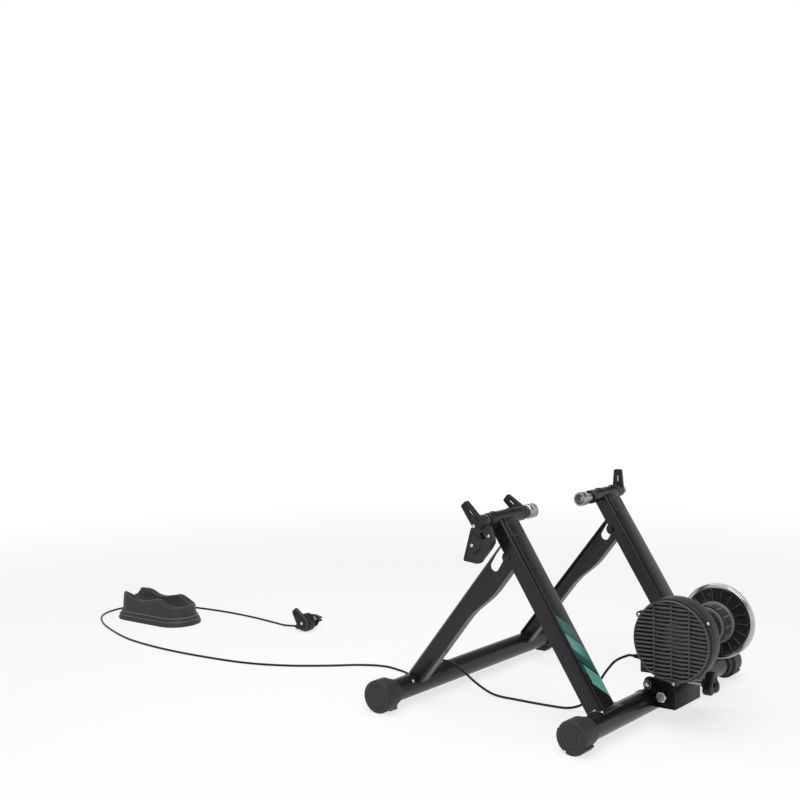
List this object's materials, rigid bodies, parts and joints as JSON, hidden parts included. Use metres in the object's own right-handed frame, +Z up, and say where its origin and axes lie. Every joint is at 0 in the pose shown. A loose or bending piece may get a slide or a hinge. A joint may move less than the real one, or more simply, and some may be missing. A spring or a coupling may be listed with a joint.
{
  "type": "bike trainer",
  "caption": "Folding magnetic bike trainer: A-shaped stand with axle clamps, roller with drum and flywheel on a swinging yoke, cable, handlebar remote and riser block.",
  "frame": {"origin": "on the floor, under the middle of the outer box without the cable", "axes": "+X towards the front of the bicycle, +Y to the rider's left, +Z up"},
  "size_m": [1.6856, 0.611, 0.411],
  "materials": {
    "stand_paint": "semi-gloss black powder coat",
    "leg_paint": "satin black powder coat",
    "cap_plastic": "matte moulded plastic",
    "black_plastic": "black moulded plastic",
    "drum_plastic": "dark grey moulded plastic",
    "zinc": "zinc-plated steel",
    "steel": "plain turned steel",
    "alloy": "machined",
    "chrome": "polished rim",
    "flywheel_paint": "black enamel",
    "cable_skin": "smooth black sheath"
  },
  "bodies": {
    "stand": {"rear_tube": "stand_paint", "upright_left": "stand_paint", "upright_right": "stand_paint", "saddle_left": "stand_paint", "saddle_right": "stand_paint", "fold_pin_left": "steel", "fold_pin_right": "steel", "sleeve_left": "stand_paint", "sleeve_right": "stand_paint", "unit_bracket": "stand_paint", "pivot_bolt": "zinc", "pivot_nut": "zinc", "pivot_spacer": "stand_paint", "bracket_barrel": "stand_paint", "riser_block": "cap_plastic", "remote_body": "black_plastic", "remote_band": "black_plastic", "remote_screw": "zinc", "shift_cable": "cable_skin"},
    "front_frame": {"front_tube": "leg_paint", "front_leg_left": "leg_paint", "front_leg_right": "leg_paint", "front_cap_left": "cap_plastic", "front_cap_right": "cap_plastic"},
    "left_spindle": {"axle_cup_left": "steel", "spindle_left": "steel"},
    "left_wing_nut": {"wing_nut_left": "black_plastic"},
    "left_wing_ring": {"wing_ring_left": "black_plastic"},
    "clamp_lever": {"clamp_lever": "black_plastic"},
    "right_spindle": {"axle_cup_right": "steel", "spindle_right": "steel"},
    "right_wing_nut": {"wing_nut_right": "black_plastic"},
    "left_foot": {"levelling_foot_left": "cap_plastic"},
    "right_foot": {"levelling_foot_right": "cap_plastic"},
    "unit": {"unit_yoke": "stand_paint", "drum_housing": "drum_plastic", "grille_cover": "drum_plastic", "neck_housing": "drum_plastic", "bearing_near": "steel", "bearing_far": "steel", "cable_gland": "black_plastic"},
    "rotor": {"main_shaft": "steel", "roller": "alloy", "brake_disc": "alloy", "flywheel_web": "flywheel_paint", "flywheel_rim": "chrome", "flywheel_nut": "steel"},
    "magnets": {"magnet_carrier": "black_plastic"},
    "tension_screw": {"tension_screw": "zinc"},
    "tension_knob": {"tension_knob": "black_plastic"},
    "thumb_lever": {"thumb_lever": "black_plastic"}
  },
  "joints": [
    {"name": "front_frame_fold", "type": "hinge", "parent": "stand", "child": "front_frame", "pos_m": [-0.48169, 0, 0.2998], "axis": [0, 1, 0], "range_deg": [0, 60]},
    {"name": "unit_swing", "type": "hinge", "parent": "stand", "child": "unit", "pos_m": [-0.70325, 0, 0.047], "axis": [0, 1, 0], "range_deg": [-8, 0]},
    {"name": "tension_screw_slide", "type": "slide", "parent": "stand", "child": "tension_screw", "axis": [1, 0, 0], "range_m": [-0.004, 0]},
    {"name": "tension_knob_spin", "type": "hinge", "parent": "tension_screw", "child": "tension_knob", "pos_m": [-0.77025, 0, 0.0665], "axis": [1, 0, 0], "range_deg": [-720, 0]},
    {"name": "flywheel_spin", "type": "hinge", "parent": "unit", "child": "rotor", "pos_m": [-0.74125, 0, 0.16], "axis": [0, 1, 0], "continuous": true},
    {"name": "magnet_turn", "type": "hinge", "parent": "unit", "child": "magnets", "pos_m": [-0.74125, 0.078, 0.16], "axis": [0, 1, 0], "range_deg": [0, 30]},
    {"name": "thumb_lever_turn", "type": "hinge", "parent": "stand", "child": "thumb_lever", "pos_m": [0.30575, -0.135, 0.021], "axis": [0, 1, 0], "range_deg": [-60, 0]},
    {"name": "clamp_lever_turn", "type": "hinge", "parent": "stand", "child": "clamp_lever", "pos_m": [-0.45425, 0.2395, 0.367], "axis": [0, 1, 0], "range_deg": [-92, 0]},
    {"name": "left_spindle_slide", "type": "slide", "parent": "stand", "child": "left_spindle", "axis": [0, 1, 0], "range_m": [0, 0.008]},
    {"name": "left_wing_turn", "type": "hinge", "parent": "left_spindle", "child": "left_wing_nut", "pos_m": [-0.45425, 0.2595, 0.367], "axis": [0, 1, 0], "range_deg": [-180, 180]},
    {"name": "left_ring_turn", "type": "hinge", "parent": "stand", "child": "left_wing_ring", "pos_m": [-0.45425, 0.117, 0.367], "axis": [0, 1, 0], "range_deg": [-60, 60]},
    {"name": "right_wing_turn", "type": "hinge", "parent": "stand", "child": "right_wing_nut", "pos_m": [-0.45425, -0.2365, 0.367], "axis": [0, 1, 0], "range_deg": [-720, 720]},
    {"name": "right_spindle_slide", "type": "slide", "parent": "stand", "child": "right_spindle", "axis": [0, 1, 0], "range_m": [-0.0039, 0.0039]},
    {"name": "left_foot_turn", "type": "hinge", "parent": "stand", "child": "left_foot", "pos_m": [-0.66525, 0.3055, 0.031], "axis": [0, 1, 0], "range_deg": [-180, 180]},
    {"name": "right_foot_turn", "type": "hinge", "parent": "stand", "child": "right_foot", "pos_m": [-0.66525, -0.3055, 0.031], "axis": [0, 1, 0], "range_deg": [-180, 180]}
  ],
  "couplings": [
    {"joint": "tension_screw_slide", "follows": "unit_swing", "m_per_rad": 0.027},
    {"joint": "tension_knob_spin", "follows": "unit_swing", "ratio": 84.823},
    {"joint": "thumb_lever_turn", "follows": "magnet_turn", "ratio": -2},
    {"joint": "clamp_lever_turn", "follows": "left_spindle_slide", "rad_per_m": -196.35},
    {"joint": "right_wing_turn", "follows": "right_spindle_slide", "rad_per_m": 3141.6}
  ]
}
